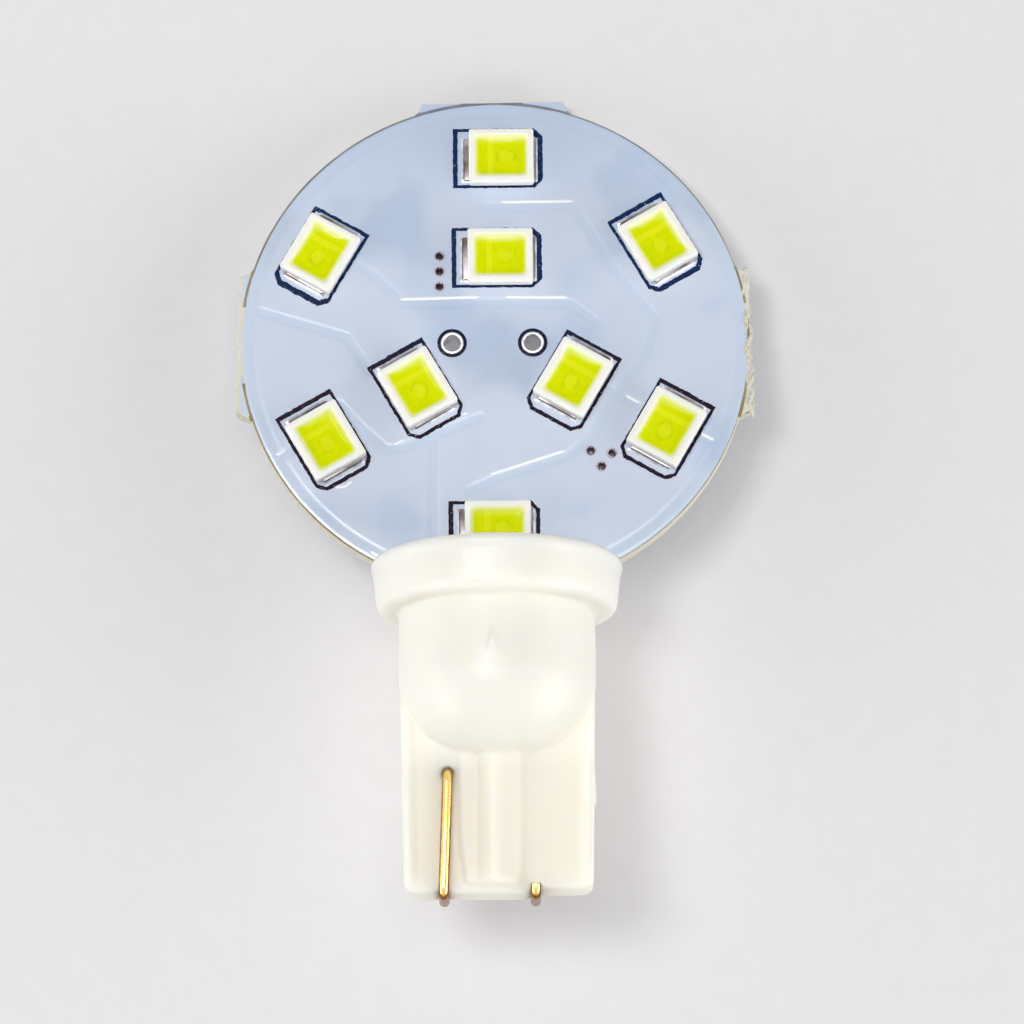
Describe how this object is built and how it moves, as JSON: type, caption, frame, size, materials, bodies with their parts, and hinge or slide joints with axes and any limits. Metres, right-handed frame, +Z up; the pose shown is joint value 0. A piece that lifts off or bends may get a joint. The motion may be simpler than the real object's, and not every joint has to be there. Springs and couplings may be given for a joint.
{
  "type": "wedge base led bulb",
  "caption": "Low-voltage LED bulb: a round board of surface-mounted LEDs standing edge-on in the collar of a moulded wedge base with folded wire contacts.",
  "frame": {"origin": "middle of the bounding box, on the flat surface that the bulb lies on", "axes": "+Z up, +Y along the bulb from the wedge towards the board's far edge, +X across the board; the base's axis leans down towards +Y by the angle at which the collar's rim and the far tab both touch the surface"},
  "size_m": [0.0254, 0.0398, 0.0121],
  "materials": {
    "base_plastic": "moulded, milky and slightly translucent",
    "board_laminate": "glass laminate under a white solder mask, cream at the cut edges",
    "contact_gold": "bright drawn wire",
    "hole_plating": "tinned copper",
    "solder": "reflowed solder",
    "led_case": "moulded white housing",
    "led_phosphor": "phosphor in clear silicone",
    "led_terminal": "silver plated",
    "black_epoxy": "moulded epoxy",
    "capacitor_ceramic": "fired ceramic",
    "part_lead": "tin plated",
    "ferrite": "sintered ferrite",
    "copper_winding": "enamelled copper wire"
  },
  "bodies": {
    "root": {"base_moulding": "base_plastic", "bridge_rectifier_case": "black_epoxy", "bridge_rectifier_leads": "part_lead", "circuit_board": "board_laminate", "contact_wire_left": "contact_gold", "contact_wire_right": "contact_gold", "driver_ic_case": "black_epoxy", "driver_ic_leads": "part_lead", "freewheel_diode_case": "black_epoxy", "freewheel_diode_leads": "part_lead", "inductor_core": "ferrite", "inductor_winding": "copper_winding", "input_capacitor_body": "capacitor_ceramic", "input_capacitor_ends": "part_lead", "lead_hole_plating_left": "hole_plating", "lead_hole_plating_right": "hole_plating", "led_inner_210_case": "led_case", "led_inner_210_phosphor": "led_phosphor", "led_inner_210_solder": "solder", "led_inner_210_terminals": "led_terminal", "led_inner_330_case": "led_case", "led_inner_330_phosphor": "led_phosphor", "led_inner_330_solder": "solder", "led_inner_330_terminals": "led_terminal", "led_inner_90_case": "led_case", "led_inner_90_phosphor": "led_phosphor", "led_inner_90_solder": "solder", "led_inner_90_terminals": "led_terminal", "led_outer_150_case": "led_case", "led_outer_150_phosphor": "led_phosphor", "led_outer_150_solder": "solder", "led_outer_150_terminals": "led_terminal", "led_outer_210_case": "led_case", "led_outer_210_phosphor": "led_phosphor", "led_outer_210_solder": "solder", "led_outer_210_terminals": "led_terminal", "led_outer_270_case": "led_case", "led_outer_270_phosphor": "led_phosphor", "led_outer_270_solder": "solder", "led_outer_270_terminals": "led_terminal", "led_outer_30_case": "led_case", "led_outer_30_phosphor": "led_phosphor", "led_outer_30_solder": "solder", "led_outer_30_terminals": "led_terminal", "led_outer_330_case": "led_case", "led_outer_330_phosphor": "led_phosphor", "led_outer_330_solder": "solder", "led_outer_330_terminals": "led_terminal", "led_outer_90_case": "led_case", "led_outer_90_phosphor": "led_phosphor", "led_outer_90_solder": "solder", "led_outer_90_terminals": "led_terminal", "output_capacitor_body": "capacitor_ceramic", "output_capacitor_ends": "part_lead", "sense_resistor_body": "black_epoxy", "sense_resistor_ends": "part_lead", "via_plating": "hole_plating", "wire_solder": "solder"}
  },
  "joints": []
}
